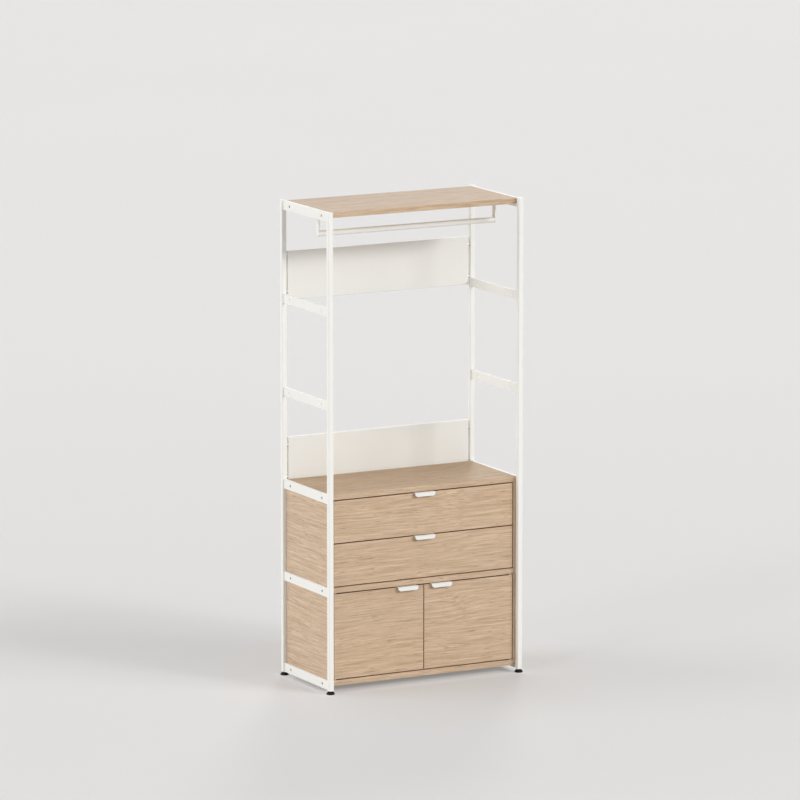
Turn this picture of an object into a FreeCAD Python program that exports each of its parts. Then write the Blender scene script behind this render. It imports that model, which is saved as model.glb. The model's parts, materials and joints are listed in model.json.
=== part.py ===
"""An open-front wardrobe: two welded ladder frames of square tube carry a top shelf, a hanging rail,
two folded back panels and a low cabinet with two drawers over a pair of doors.
X runs to the viewer's right, the open front faces -Y and +Z is up. The origin is on the floor at the centre."""
import FreeCAD, Part
import os

# Overall size, in millimetres
width = 850.0
depth = 410.0
foot_gap = 13.5

# Ladder frames
post_size = 20.0
post_wall = 1.5
post_corner = 3.0
cap_plate = 1.5
cap_plug = 10.0
rail_pitch = 365.0
rail_height = 36.0
rail_thick = 8.0
rail_inset = 6.0
rail_hole_inset = 72.0
rail_hole_radius = 5.25
rail_bore_depth = 5.0
boards_by_level = ("top_shelf", "", "", "worktop", "mid_board", "bottom_board")
panels_by_level = ("", "back_panel_upper", "", "back_panel_lower", "", "")

# Levelling feet
insert_height = 25.0
stem_radius = 4.0
stem_end_gap = 1.0
collar_radius = 8.0
pad_radius = 16.0
pad_top_radius = 11.5
pad_edge = 4.5
pad_height = 10.0

# Boards, end plates, side panels and cabinet backs
board_thick = 22.0
board_setback = 23.0
plate_thick = 4.0
plate_drop = 30.0
side_thick = 15.0
back_thick = 6.0
bolt_radius = 3.0
bolt_head = 4.5
bolt_socket_radius = 2.5
bolt_socket = 2.5
plate_screw_radius = 2.0
plate_screw_length = 30.0
plate_screw_head_radius = 3.6
plate_screw_head = 1.6
plate_screw_margin = 92.0

# Hanging rail below the top shelf
hanger_radius = 11.0
hanger_wall = 1.5
hanger_drop = 80.0
hanger_setback = 165.0
strap_inset = 37.5
strap_thick = 4.0
strap_foot = 34.0
strap_screw_radius = 2.0
strap_screw_length = 20.0
strap_screw_head_radius = 3.8
strap_screw_head = 2.0
strap_screw_spacing = 16.0

# Folded back panels
panel_height = 190.0
panel_drop = 25.0
panel_gap = 6.0
panel_sheet = 1.5
panel_bend = 2.0
panel_depth = 15.0
panel_setback = 17.0
panel_bolt_radius = 2.5
panel_bolt_reach = 5.0
panel_bolt_head_radius = 4.5
panel_bolt_head = 2.8
panel_bolt_margin = 32.0
spacer_radius = 6.0

# Gaps and clearances
front_gap = 4.0
fit = 0.05
head_play = 0.25
seat_gap = 0.3
overrun = 1.0

# Drawers
front_thick = 19.0
box_thick = 12.0
box_lift = 18.0
box_top_gap = 27.5
box_rear_gap = 24.0
box_bottom = 4.0
groove_depth = 5.0
groove_lift = 10.0
dowel_radius = 3.0
dowel_in_front = 11.0
dowel_in_side = 24.0
dowel_margin = 25.0

# Ball runners, as nested channels
runner_width = 12.7
runner_height = 35.0
runner_sheet = 1.2
runner_start = 3.0
runner_end_gap = 12.0
runner_play = 0.4
runner_web_gap = 1.2

# Folded pulls on the top edges of the drawer fronts and doors
pull_width = 89.0
pull_sheet = 1.5
pull_reach = 11.0
pull_flange = 13.0
pull_drop = 15.0
pull_flare = 4.5
pull_corner = 12.0
pull_edge_inset = 27.5
pull_screw_radius = 1.75
pull_screw_length = 16.0
pull_screw_head_radius = 3.2
pull_screw_head = 1.1
pull_screw_margin = 14.5
pull_screw_inset = 6.0

# Doors on pivots, with magnetic catches
pivot_inset = 6.0
pivot_radius = 2.5
pivot_in_board = 5.0
pivot_plate_length = 42.0
pivot_plate_width = 10.0
pivot_leaf_margin = 2.0
pivot_sheet = 2.0
pivot_boss_radius = 5.0
catch_width = 46.0
catch_depth = 14.0
catch_height = 13.0
catch_inset = 14.0
strike_width = 36.0
strike_height = 16.0
strike_margin = 1.0
strike_sheet = 1.2

# Places in the frame that follow from the sizes above
half_width = width / 2
half_depth = depth / 2
frame_top = foot_gap + rail_height + (len(boards_by_level) - 1) * rail_pitch
rail_outer = half_width - rail_inset
rail_inner = rail_outer - rail_thick
rail_y = half_depth - post_size
hole_y = half_depth - rail_hole_inset

# Places in the cabinet
board_half = rail_inner - plate_thick
board_y = half_depth - board_setback
side_inner = rail_inner - side_thick
bay_height = rail_pitch - board_thick
front_half = side_inner - front_gap
front_face = -board_y
front_back = front_face + front_thick
pull_y = front_face - pull_reach
pivot_y = front_face + pivot_inset

# Places in the drawers
drawer_front_height = (bay_height - 3 * front_gap) / 2
box_half = side_inner - runner_width
box_inner = box_half - box_thick
box_height = drawer_front_height - box_lift - box_top_gap
box_end = board_y - back_thick - box_rear_gap
runner_y = (front_back + runner_start, box_end - runner_end_gap)
middle_height = runner_height - 2 * (runner_sheet + runner_play)
inner_height = middle_height - 2 * (runner_sheet + runner_play)

# Places of the hanging rail and the back panels
underside = frame_top - board_thick
hanger_y = -half_depth + hanger_setback
hanger_z = underside - hanger_drop
strap_outer = half_width - strap_inset
strap_inner = strap_outer - strap_thick
panel_half = half_width - post_size - panel_gap
panel_front = half_depth - panel_setback
panel_back = panel_front + panel_depth
panel_bolt_y = (panel_front + panel_back) / 2


def level_top(level):
    """Height of the upper edge of the rails on one level, counted from the top."""
    return frame_top - level * rail_pitch


def board_top(name):
    """Height of the upper face of one board."""
    return level_top(boards_by_level.index(name))


def block(x, y, z):
    """A box between two values on each axis."""
    corner = FreeCAD.Vector(min(x), min(y), min(z))
    return Part.makeBox(max(x) - min(x), max(y) - min(y), max(z) - min(z), corner)


def bar(radius, start, end):
    """A round bar from one point to another."""
    first = FreeCAD.Vector(*start)
    run = FreeCAD.Vector(*end).sub(first)
    return Part.makeCylinder(radius, run.Length, first, run)


def bar_x(radius, x, y, z):
    """A round bar along X between two values of x."""
    return bar(radius, (x[0], y, z), (x[1], y, z))


def bar_z(radius, x, y, z):
    """A round bar along Z between two values of z."""
    return bar(radius, (x, y, z[0]), (x, y, z[1]))


def upright_edges(shape):
    """The edges of a block that stand along Z."""
    return [e for e in shape.Edges if e.BoundBox.XLength < fit and e.BoundBox.YLength < fit]


def save(name, *solids):
    """Writes one sub-part, made of one or more separate solids."""
    shape = solids[0] if len(solids) == 1 else Part.makeCompound(list(solids))
    shape.exportStep(os.path.join("parts", name + ".step"))


def side_name(side):
    return "left" if side < 0 else "right"


def corner_name(side, end):
    return ("front_" if end < 0 else "back_") + side_name(side)


def corners():
    """The two sides and the two ends, in pairs."""
    return [(side, end) for side in (-1, 1) for end in (-1, 1)]


def post_prism(side, end, inset, z):
    """A square prism with rounded corners in one corner of the frame, at an inset from the post's faces."""
    x = (side * (half_width - inset), side * (half_width - post_size + inset))
    y = (end * (half_depth - inset), end * (half_depth - post_size + inset))
    prism = block(x, y, z)
    return prism.makeFillet(post_corner - inset, upright_edges(prism))


def panel_bolt_heights():
    """Heights of the bolts that hold each back panel between the posts."""
    heights = {}
    for level, name in enumerate(panels_by_level):
        if name:
            low = level_top(level) - panel_drop
            heights[name] = (low + panel_bolt_margin, low + panel_height - panel_bolt_margin)
    return heights


def make_posts():
    """Four upright square tubes, with bolt holes in the inner walls of the back ones."""
    for side, end in corners():
        tube = post_prism(side, end, 0, (foot_gap, frame_top))
        tube = tube.cut(post_prism(side, end, post_wall, (foot_gap - overrun, frame_top + overrun)))
        face = half_width - post_size
        wall = (side * (face - overrun), side * (face + post_wall + overrun))
        if end > 0:
            for pair in panel_bolt_heights().values():
                for z in pair:
                    tube = tube.cut(bar_x(panel_bolt_radius + fit, wall, panel_bolt_y, z))
        save("post_" + corner_name(side, end), tube)


def make_post_caps():
    """A plate that closes each post, with a plug below it inside the tube."""
    caps = []
    for side, end in corners():
        plate = post_prism(side, end, 0, (frame_top, frame_top + cap_plate))
        plug = post_prism(side, end, post_wall + fit, (frame_top - cap_plug, frame_top))
        caps.append(plate.fuse(plug).removeSplitter())
    save("post_caps", *caps)


def make_rails():
    """Flat rails between the posts: stepped for bolt heads where a board is fixed, plain holes elsewhere."""
    for side in (-1, 1):
        rails = []
        through = (side * (rail_outer + overrun), side * (rail_inner - overrun))
        recess = (side * (rail_outer + overrun), side * (rail_outer - rail_bore_depth))
        for level, board in enumerate(boards_by_level):
            top = level_top(level)
            z = top - rail_height / 2
            rail = block((side * rail_inner, side * rail_outer), (-rail_y, rail_y), (top - rail_height, top))
            for y in (-hole_y, hole_y):
                if board:
                    rail = rail.cut(bar_x(rail_hole_radius, recess, y, z))
                    rail = rail.cut(bar_x(bolt_radius + fit, through, y, z))
                else:
                    rail = rail.cut(bar_x(rail_hole_radius, through, y, z))
            rails.append(rail)
        save("rails_" + side_name(side), *rails)


def make_foot():
    """A round pad with a collar and a stem, turned about its own axis."""
    outline = [
        (0, 0),
        (pad_radius, 0),
        (pad_radius, pad_edge),
        (pad_top_radius, pad_height),
        (collar_radius, pad_height),
        (collar_radius, foot_gap - seat_gap),
        (stem_radius, foot_gap - seat_gap),
        (stem_radius, foot_gap + insert_height - stem_end_gap),
        (0, foot_gap + insert_height - stem_end_gap),
    ]
    points = [FreeCAD.Vector(r, 0, z) for r, z in outline]
    face = Part.Face(Part.makePolygon(points + points[:1]))
    return face.revolve(FreeCAD.Vector(0, 0, 0), FreeCAD.Vector(0, 0, 1), 360)


def make_feet():
    """A threaded plug in the lower end of each post, and a foot whose stem screws into it."""
    plugs = []
    for side, end in corners():
        x = side * (half_width - post_size / 2)
        y = end * (half_depth - post_size / 2)
        plug = post_prism(side, end, post_wall, (foot_gap, foot_gap + insert_height))
        bore = (foot_gap - overrun, foot_gap + insert_height + overrun)
        plugs.append(plug.cut(bar_z(stem_radius + fit, x, y, bore)))
        foot = make_foot()
        foot.translate(FreeCAD.Vector(x, y, 0))
        save("foot_" + corner_name(side, end), foot)
    save("foot_inserts", *plugs)


def make_board_bolt(side, y, z):
    """A socket bolt whose head lies in the rail's step and whose end is threaded into the end plate."""
    step = side * (rail_outer - rail_bore_depth)
    face = step + side * bolt_head
    bolt = bar_x(rail_hole_radius - head_play, (step, face), y, z)
    bolt = bolt.fuse(bar_x(bolt_radius, (step, side * board_half), y, z))
    return bolt.cut(bar_x(bolt_socket_radius, (face + side * overrun, face - side * bolt_socket), y, z))


def make_plate_screw(side, y, z, spare):
    """A wood screw through an end plate into its board, or its hole when spare is more than zero."""
    start = side * (rail_inner + spare)
    head = bar_x(plate_screw_head_radius + spare, (start, side * (rail_inner - plate_screw_head - spare)), y, z)
    tip = side * (rail_inner - plate_screw_length - spare)
    return head.fuse(bar_x(plate_screw_radius + spare, (start, tip), y, z))


def pivot_x(side):
    return side * (front_half - pivot_inset)


def pivot_pocket(side, face, up):
    """The pocket in a board for a pivot plate, with a deeper hole for the pin. Up is 1 above the door."""
    pocket = block(pivot_plate_x(side), pivot_plate_y(), (face - up * overrun, face + up * pivot_sheet))
    end = face + up * (pivot_sheet + pivot_in_board + overrun)
    return pocket.fuse(bar_z(pivot_radius + seat_gap, pivot_x(side), pivot_y, (face, end)))


def make_boards():
    """Four boards with steel end plates, bolted through the rails and screwed to the plates."""
    plates, bolts, screws = [], [], []
    for name in filter(None, boards_by_level):
        top = board_top(name)
        board = block((-board_half, board_half), (-board_y, board_y), (top - board_thick, top))
        if name == "top_shelf":
            for drill in strap_screws(fit):
                board = board.cut(drill)
        for side in (-1, 1):
            if name == "mid_board":
                board = board.cut(pivot_pocket(side, top - board_thick, 1))
            if name == "bottom_board":
                board = board.cut(pivot_pocket(side, top, -1))
            plate = block((side * board_half, side * rail_inner), (-board_y, board_y), (top - plate_drop, top))
            through = (side * (rail_inner + overrun), side * (board_half - overrun))
            for y in (-hole_y, hole_y):
                z = top - rail_height / 2
                plate = plate.cut(bar_x(bolt_radius + fit, through, y, z))
                bolts.append(make_board_bolt(side, y, z))
            for y in (plate_screw_margin - board_y, board_y - plate_screw_margin):
                z = top - board_thick / 2
                drill = make_plate_screw(side, y, z, fit)
                plate = plate.cut(drill)
                board = board.cut(drill)
                screws.append(make_plate_screw(side, y, z, 0))
            plates.append(plate)
        save(name, board)
    save("board_end_plates", *plates)
    save("board_bolts", *bolts)
    save("plate_screws", *screws)


def make_side_panels():
    """The cabinet's four side panels, rebated at the top for the end plates."""
    for bay, name in (("upper", "worktop"), ("lower", "mid_board")):
        ceiling = board_top(name) - board_thick
        for side in (-1, 1):
            x = (side * side_inner, side * rail_inner)
            panel = block(x, (-board_y, board_y), (ceiling - bay_height, ceiling))
            rebate_x = (side * board_half, side * (rail_inner + overrun))
            rebate_y = (-board_y - overrun, board_y + overrun)
            rebate_z = (ceiling + board_thick - plate_drop, ceiling + overrun)
            panel = panel.cut(block(rebate_x, rebate_y, rebate_z))
            save("side_panel_{}_{}".format(bay, side_name(side)), panel)


def make_cabinet_backs():
    """Thin panels between the side panels that close the cabinet's two bays."""
    backs = []
    for name in ("worktop", "mid_board"):
        ceiling = board_top(name) - board_thick
        y = (board_y - back_thick, board_y)
        backs.append(block((-side_inner, side_inner), y, (ceiling - bay_height, ceiling)))
    save("cabinet_backs", *backs)


def strap_screws(spare):
    """Screws up through the straps' feet into the top shelf, or their holes when spare is more than zero."""
    solids = []
    low = underside - strap_thick
    for side in (-1, 1):
        middle = side * (strap_outer - (strap_thick + strap_foot) / 2)
        shank_z = (low - spare, low + strap_screw_length + spare)
        for x in (middle - strap_screw_spacing / 2, middle + strap_screw_spacing / 2):
            shank = bar_z(strap_screw_radius + spare, x, hanger_y, shank_z)
            head = bar_z(strap_screw_head_radius, x, hanger_y, (low - strap_screw_head, low))
            solids.append(shank if spare else shank.fuse(head))
    return solids


def make_hanging_rail():
    """A round rail between two flat straps that are screwed under the top shelf."""
    y = (hanger_y - hanger_radius, hanger_y + hanger_radius)
    for side in (-1, 1):
        x = (side * strap_outer, side * strap_inner)
        strap = block(x, y, (hanger_z, underside))
        strap = strap.fuse(bar_x(hanger_radius, x, hanger_y, hanger_z))
        foot_x = (side * strap_outer, side * (strap_outer - strap_foot))
        strap = strap.fuse(block(foot_x, y, (underside - strap_thick, underside)))
        for drill in strap_screws(fit):
            strap = strap.cut(drill)
        save("rail_strap_" + side_name(side), strap.removeSplitter())
    tube = bar_x(hanger_radius, (-strap_inner, strap_inner), hanger_y, hanger_z)
    bore = (-strap_inner - overrun, strap_inner + overrun)
    save("hanging_rail", tube.cut(bar_x(hanger_radius - hanger_wall, bore, hanger_y, hanger_z)))
    save("strap_screws", *strap_screws(0))


def make_tray(low, high):
    """A sheet folded back at all four edges, with a bend at each end."""
    open_y = panel_back + panel_bend
    whole = block((-panel_half, panel_half), (panel_front, open_y), (low, high))
    whole = whole.makeFillet(panel_bend, upright_edges(whole))
    hollow_x = (panel_sheet - panel_half, panel_half - panel_sheet)
    hollow_y = (panel_front + panel_sheet, open_y + overrun)
    hollow = block(hollow_x, hollow_y, (low + panel_sheet, high - panel_sheet))
    behind = block((-half_width, half_width), (panel_back, open_y + overrun), (low - overrun, high + overrun))
    return whole.cut(hollow.fuse(behind))


def make_back_panels():
    """Folded panels between the back posts, each held by bolts through spacers."""
    spacers, bolts = [], []
    for name, heights in panel_bolt_heights().items():
        low = heights[0] - panel_bolt_margin
        tray = make_tray(low, low + panel_height)
        for side in (-1, 1):
            seat = side * (panel_half - panel_sheet)
            face = side * (half_width - post_size)
            tip = face + side * (post_wall + panel_bolt_reach)
            through = (seat - side * overrun, face + side * overrun)
            for z in heights:
                hole = bar_x(panel_bolt_radius + fit, through, panel_bolt_y, z)
                tray = tray.cut(hole)
                spacers.append(bar_x(spacer_radius, (side * panel_half, face), panel_bolt_y, z).cut(hole))
                head = bar_x(panel_bolt_head_radius, (seat - side * panel_bolt_head, seat), panel_bolt_y, z)
                bolts.append(head.fuse(bar_x(panel_bolt_radius, (seat, tip), panel_bolt_y, z)))
        save(name, tray)
    save("panel_spacers", *spacers)
    save("panel_bolts", *bolts)


def make_pull(middle, top):
    """A folded sheet pull: a flange on the top edge, a nose, and a lip that leans out to rounded corners."""
    upper = top + pull_sheet
    lower = upper - pull_drop
    outline = [
        (front_face + pull_flange, top),
        (front_face + pull_flange, upper),
        (pull_y, upper),
        (pull_y - pull_flare, lower),
        (pull_y - pull_flare + pull_sheet, lower),
        (pull_y + pull_sheet, top),
    ]
    start = middle - pull_width / 2
    points = [FreeCAD.Vector(start, y, z) for y, z in outline]
    sheet = Part.Face(Part.makePolygon(points + points[:1])).extrude(FreeCAD.Vector(pull_width, 0, 0))
    mask_y = (pull_y - pull_flare - overrun, front_face + pull_flange + overrun)
    mask = block((start, start + pull_width), mask_y, (lower, upper))
    return sheet.common(mask.makeFillet(pull_corner, lower_edges(mask)))


def lower_edges(shape):
    """The two lower edges of a block that run from front to back."""
    low = shape.BoundBox.ZMin
    return [e for e in shape.Edges if e.BoundBox.ZMax - low < fit and e.BoundBox.XLength < fit]


def pull_screws(middle, top, spare):
    """Two small screws down through a pull's flange, or their holes when spare is more than zero."""
    solids = []
    seat = top + pull_sheet
    y = front_face + pull_screw_inset
    offset = pull_width / 2 - pull_screw_margin
    for x in (middle - offset, middle + offset):
        shank = bar_z(pull_screw_radius + spare, x, y, (seat + spare, seat - pull_screw_length - spare))
        head = bar_z(pull_screw_head_radius, x, y, (seat, seat + pull_screw_head))
        solids.append(shank if spare else shank.fuse(head))
    return solids


def channel(side, web, tip, height, middle):
    """A channel along Y: its web's outer face is at web, and its two flanges end at tip."""
    inward = 1 if tip > web else -1
    z = (middle - height / 2, middle + height / 2)
    whole = block((side * web, side * tip), runner_y, z)
    hollow_x = (side * (web + inward * runner_sheet), side * (tip + inward * overrun))
    hollow_y = (runner_y[0] - overrun, runner_y[1] + overrun)
    return whole.cut(block(hollow_x, hollow_y, (z[0] + runner_sheet, z[1] - runner_sheet)))


def make_runners(bay, middle):
    """The fixed, middle and drawer members of the two runners of one drawer."""
    tip = box_half + runner_sheet + runner_web_gap
    middle_web = side_inner - runner_sheet - runner_web_gap
    inner_tip = middle_web - runner_sheet - runner_web_gap
    save("runner_fixed_" + bay, *[channel(side, side_inner, tip, runner_height, middle) for side in (-1, 1)])
    save("runner_middle_" + bay, *[channel(side, middle_web, tip, middle_height, middle) for side in (-1, 1)])
    save("runner_inner_" + bay, *[channel(side, box_half, inner_tip, inner_height, middle) for side in (-1, 1)])


def side_pins(side, low, spare):
    """Two steel pins that join one side of a drawer to its front, or their holes."""
    x = side * (box_inner + box_half) / 2
    start = front_back - dowel_in_front - spare
    end = front_back + dowel_in_side + spare
    heights = (low + dowel_margin, low + box_height - dowel_margin)
    return [bar(dowel_radius + spare, (x, start, z), (x, end, z)) for z in heights]


def make_drawer(bay, low):
    """One drawer: its front, the box behind it, pull, runners and fittings."""
    top = low + drawer_front_height
    box_low = low + box_lift
    z = (box_low, box_low + box_height)
    floor = (box_low + groove_lift, box_low + groove_lift + box_bottom)
    floor_x = (-box_inner - groove_depth, box_inner + groove_depth)
    bottom = block(floor_x, (front_back - groove_depth, box_end - box_thick + groove_depth), floor)
    front = block((-front_half, front_half), (front_face, front_back), (low, top)).cut(bottom)
    back = block((-box_inner, box_inner), (box_end - box_thick, box_end), z).cut(bottom)
    pull = make_pull(0, top)
    fittings = pull_screws(0, top, 0)
    for hole in pull_screws(0, top, fit):
        front = front.cut(hole)
        pull = pull.cut(hole)
    for side in (-1, 1):
        board = block((side * box_inner, side * box_half), (front_back, box_end), z).cut(bottom)
        for hole in side_pins(side, box_low, fit):
            board = board.cut(hole)
            front = front.cut(hole)
        fittings += side_pins(side, box_low, 0)
        save("drawer_{}_side_{}".format(bay, side_name(side)), board)
    save("drawer_{}_front".format(bay), front)
    save("drawer_{}_back".format(bay), back)
    save("drawer_{}_bottom".format(bay), bottom)
    save("drawer_{}_pull".format(bay), pull)
    save("drawer_{}_fittings".format(bay), *fittings)
    make_runners(bay, box_low + box_height / 2)


def pivot_plate_x(side):
    start = pivot_x(side) + side * pivot_boss_radius
    return start, start - side * pivot_plate_length


def pivot_leaf_x(side):
    start = side * (front_half - pivot_leaf_margin)
    return start, start - side * pivot_plate_length


def pivot_plate_y():
    return pivot_y - pivot_plate_width / 2, pivot_y + pivot_plate_width / 2


def pivot_leaf(side, edge, up):
    """A leaf let into a door's top or bottom edge, with the pin that turns in the board's plate."""
    inside = edge - up * pivot_sheet
    leaf = block(pivot_leaf_x(side), pivot_plate_y(), (edge, inside))
    tip = edge + up * (front_gap + pivot_sheet + pivot_in_board)
    return leaf.fuse(bar_z(pivot_radius, pivot_x(side), pivot_y, (inside, tip)))


def pivot_plate(side, face, up):
    """A plate let into a board, with a boss that holds the door at its gap."""
    back = face + up * pivot_sheet
    plate = block(pivot_plate_x(side), pivot_plate_y(), (face, back))
    boss_end = face - up * (front_gap - seat_gap)
    plate = plate.fuse(bar_z(pivot_boss_radius, pivot_x(side), pivot_y, (boss_end, back)))
    bore = (boss_end - up * overrun, back + up * overrun)
    return plate.cut(bar_z(pivot_radius + fit, pivot_x(side), pivot_y, bore))


def make_doors():
    """A pair of doors that turn on pins, with pulls, strike plates, pivot plates and magnetic catches."""
    ceiling = board_top("mid_board") - board_thick
    floor = board_top("bottom_board")
    low, top = floor + front_gap, ceiling - front_gap
    plates, catches = [], []
    for side in (-1, 1):
        meeting = front_gap / 2
        door = block((side * meeting, side * front_half), (front_face, front_back), (low, top))
        pull_middle = side * (meeting + pull_edge_inset + pull_width / 2)
        pull = make_pull(pull_middle, top)
        for hole in pull_screws(pull_middle, top, fit):
            door = door.cut(hole)
            pull = pull.cut(hole)
        catch_y = front_back + seat_gap
        catch_middle = meeting + catch_inset + catch_width / 2
        catch_x = (side * (catch_middle - catch_width / 2), side * (catch_middle + catch_width / 2))
        catches.append(block(catch_x, (catch_y, catch_y + catch_depth), (ceiling - catch_height, ceiling)))
        strike_x = (side * (catch_middle - strike_width / 2), side * (catch_middle + strike_width / 2))
        strike_z = (top - strike_margin - strike_height, top - strike_margin)
        strike = block(strike_x, (front_back - strike_sheet, front_back), strike_z)
        metal = [strike, pivot_leaf(side, top, 1), pivot_leaf(side, low, -1)]
        for piece in metal:
            door = door.cut(piece)
        save("door_" + side_name(side), door)
        save("door_{}_pull".format(side_name(side)), pull)
        save("door_{}_fittings".format(side_name(side)), *metal, *pull_screws(pull_middle, top, 0))
        plates += [pivot_plate(side, ceiling, 1), pivot_plate(side, floor, -1)]
    save("pivot_plates", *plates)
    save("magnet_catches", *catches)


def main():
    os.makedirs("parts", exist_ok=True)
    make_posts()
    make_post_caps()
    make_rails()
    make_feet()
    make_boards()
    make_side_panels()
    make_cabinet_backs()
    make_hanging_rail()
    make_back_panels()
    drawer_floor = board_top("mid_board") + front_gap
    make_drawer("lower", drawer_floor)
    make_drawer("upper", drawer_floor + drawer_front_height + front_gap)
    make_doors()


main()
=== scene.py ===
# %% [markdown]
# # An open-front wardrobe in white steel and pale oak
# Two welded ladder frames of square steel tube carry a top shelf, a hanging rail, two folded back panels
# and a low cabinet with two drawers over a pair of doors. The measured solids are loaded first, as a fixed
# frame. Each later step then dresses one kind of piece: it gives the piece its eased edges, folds, welds or
# screw heads, and the finish that the real one has.

# %% Load the frame
import json
from math import atan2, cos, hypot, pi, radians, sin

import bmesh
import bpy
from mathutils import Matrix, Vector

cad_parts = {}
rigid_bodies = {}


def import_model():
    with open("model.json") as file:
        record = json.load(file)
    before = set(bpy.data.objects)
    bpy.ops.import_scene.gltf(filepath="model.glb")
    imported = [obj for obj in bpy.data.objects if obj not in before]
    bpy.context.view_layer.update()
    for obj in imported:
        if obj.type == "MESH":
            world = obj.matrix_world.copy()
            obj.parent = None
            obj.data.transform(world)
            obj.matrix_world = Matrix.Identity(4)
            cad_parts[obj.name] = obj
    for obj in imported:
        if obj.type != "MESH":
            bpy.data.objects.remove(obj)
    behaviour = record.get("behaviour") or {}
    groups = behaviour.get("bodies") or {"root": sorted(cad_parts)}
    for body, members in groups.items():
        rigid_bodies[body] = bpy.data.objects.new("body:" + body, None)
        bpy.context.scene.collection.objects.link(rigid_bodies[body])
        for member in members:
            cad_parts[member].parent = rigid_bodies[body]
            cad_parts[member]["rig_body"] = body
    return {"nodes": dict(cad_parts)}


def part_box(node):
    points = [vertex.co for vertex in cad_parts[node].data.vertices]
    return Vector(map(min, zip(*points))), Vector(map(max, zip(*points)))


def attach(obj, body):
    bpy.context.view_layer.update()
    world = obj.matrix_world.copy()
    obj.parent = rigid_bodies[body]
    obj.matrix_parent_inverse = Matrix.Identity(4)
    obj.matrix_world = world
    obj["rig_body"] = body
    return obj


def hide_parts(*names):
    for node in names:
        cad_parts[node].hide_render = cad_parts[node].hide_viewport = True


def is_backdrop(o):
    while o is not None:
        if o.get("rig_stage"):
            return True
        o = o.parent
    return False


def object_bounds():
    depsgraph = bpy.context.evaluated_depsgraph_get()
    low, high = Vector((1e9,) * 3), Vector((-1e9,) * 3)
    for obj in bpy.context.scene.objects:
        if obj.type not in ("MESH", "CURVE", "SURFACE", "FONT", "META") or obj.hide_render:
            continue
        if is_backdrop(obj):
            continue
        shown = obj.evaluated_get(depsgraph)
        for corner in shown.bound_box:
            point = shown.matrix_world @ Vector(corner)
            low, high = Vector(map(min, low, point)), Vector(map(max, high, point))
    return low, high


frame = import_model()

cad_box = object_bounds()
scene = bpy.context.scene
mm = 0.001
tiny = 1e-6
print("nodes", len(frame["nodes"]), "size", [round(b - a, 4) for a, b in zip(*cad_box)])

# %% [markdown]
# ## The camera
# A catalogue picture of furniture is taken from far away with a long lens, so that upright posts stay
# nearly parallel. The lens could be a guess that is tried until it looks right. Here its length, place and
# tilt were worked out from the corners of the posts and boards, which is quicker and far more exact.

# %% Camera
camera_data = bpy.data.cameras.new("camera")
camera_data.sensor_width = 36
camera_data.lens = 275.668
camera_data.clip_end = 300
camera = bpy.data.objects.new("camera", camera_data)
scene.collection.objects.link(camera)
camera.location = (-11.04045, -20.63264, 5.30918)
looking = Vector((0.46405489, 0.86782338, -0.17758274))
camera.rotation_euler = looking.to_track_quat("-Z", "Y").to_euler()
scene.camera = camera
print("camera", round(camera.location.length, 2), "m from the middle of the floor")

# %% [markdown]
# ## Light
# The studio is an even, pale room with soft boxes on every side. The strongest stands in front, a little to
# the right. The next ones stand behind on the right and beside the wardrobe on the left, and together they
# throw long soft shadows over the floor. Area lamps could do the same, but a sun lamp with a wide angle
# lights the whole floor evenly, so the backdrop has no hot spot. Each lamp was first tried alone. All the
# strengths were then solved together from the brightness of the floor, the rails, the panels and the boards.

# %% Lamps
def add_sun(name, turn, height, strength, spread):
    """A broad lamp. It stands turn degrees right of the front and height degrees above the floor."""
    lamp = bpy.data.lights.new("lamp_" + name, "SUN")
    lamp.energy = strength
    lamp.angle = radians(spread)
    holder = bpy.data.objects.new("lamp_" + name, lamp)
    scene.collection.objects.link(holder)
    level = cos(radians(height))
    ray = Vector((-sin(radians(turn)) * level, cos(radians(turn)) * level, -sin(radians(height))))
    holder.rotation_euler = ray.to_track_quat("-Z", "Y").to_euler()
    return holder


lamps = [
    # turn and height in degrees, strength, width in degrees
    add_sun("front_low", 50, 14, 0.23, 12),
    add_sun("front_left_side", 15, 24, 0.16, 14),
    add_sun("front", 30, 24, 1.02, 14),
    add_sun("front_right_side", 45, 24, 0.48, 14),
    add_sun("left", 270, 16, 0.35, 14),
    add_sun("left_front", 290, 16, 0.505, 14),
    add_sun("left_back_high", 230, 30, 0.42, 18),
    add_sun("left_middle_high", 250, 30, 0.40, 18),
    add_sun("back_high", 180, 48, 0.21, 24),
    add_sun("left_back_low", 210, 7, 0.23, 12),
    add_sun("right_back", 147, 20, 0.65, 14),
    add_sun("overhead", 315, 89, 0.25, 50),
]
print("lamps", [(lamp.name, round(lamp.data.energy, 2)) for lamp in lamps])

# %% [markdown]
# ## Shader helpers
# A finish is a small network of nodes. Wiring each one by hand in the editor is slow to repeat, so a few
# short functions add a node, mix two colours or stretch a pattern. Colours are written as a picture editor
# shows them, from 0 to 255, and are turned into the linear values that light needs.

# %% Helpers for finishes
def paint(red, green, blue):
    """A colour given from 0 to 255 as linear values."""
    values = [channel / 255 for channel in (red, green, blue)]
    return [v / 12.92 if v <= 0.04045 else ((v + 0.055) / 1.055) ** 2.4 for v in values] + [1]


def start_finish(name):
    """An empty material with its output, ready for nodes."""
    made = bpy.data.materials.new(name)
    made.use_nodes = True
    made.node_tree.nodes.clear()
    return made, made.node_tree


def add(tree, kind, inputs=None, **settings):
    """Adds one shader node. An input is a plain value or another node's output socket."""
    made = tree.nodes.new("ShaderNode" + kind)
    for key, value in settings.items():
        setattr(made, key, value)
    for key, value in (inputs or {}).items():
        if isinstance(value, bpy.types.NodeSocket):
            tree.links.new(value, made.inputs[key])
        else:
            made.inputs[key].default_value = value
    return made


def maths(tree, operation, *values):
    """The result of a Math node on one, two or three values."""
    return add(tree, "Math", dict(enumerate(values)), operation=operation).outputs[0]


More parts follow.
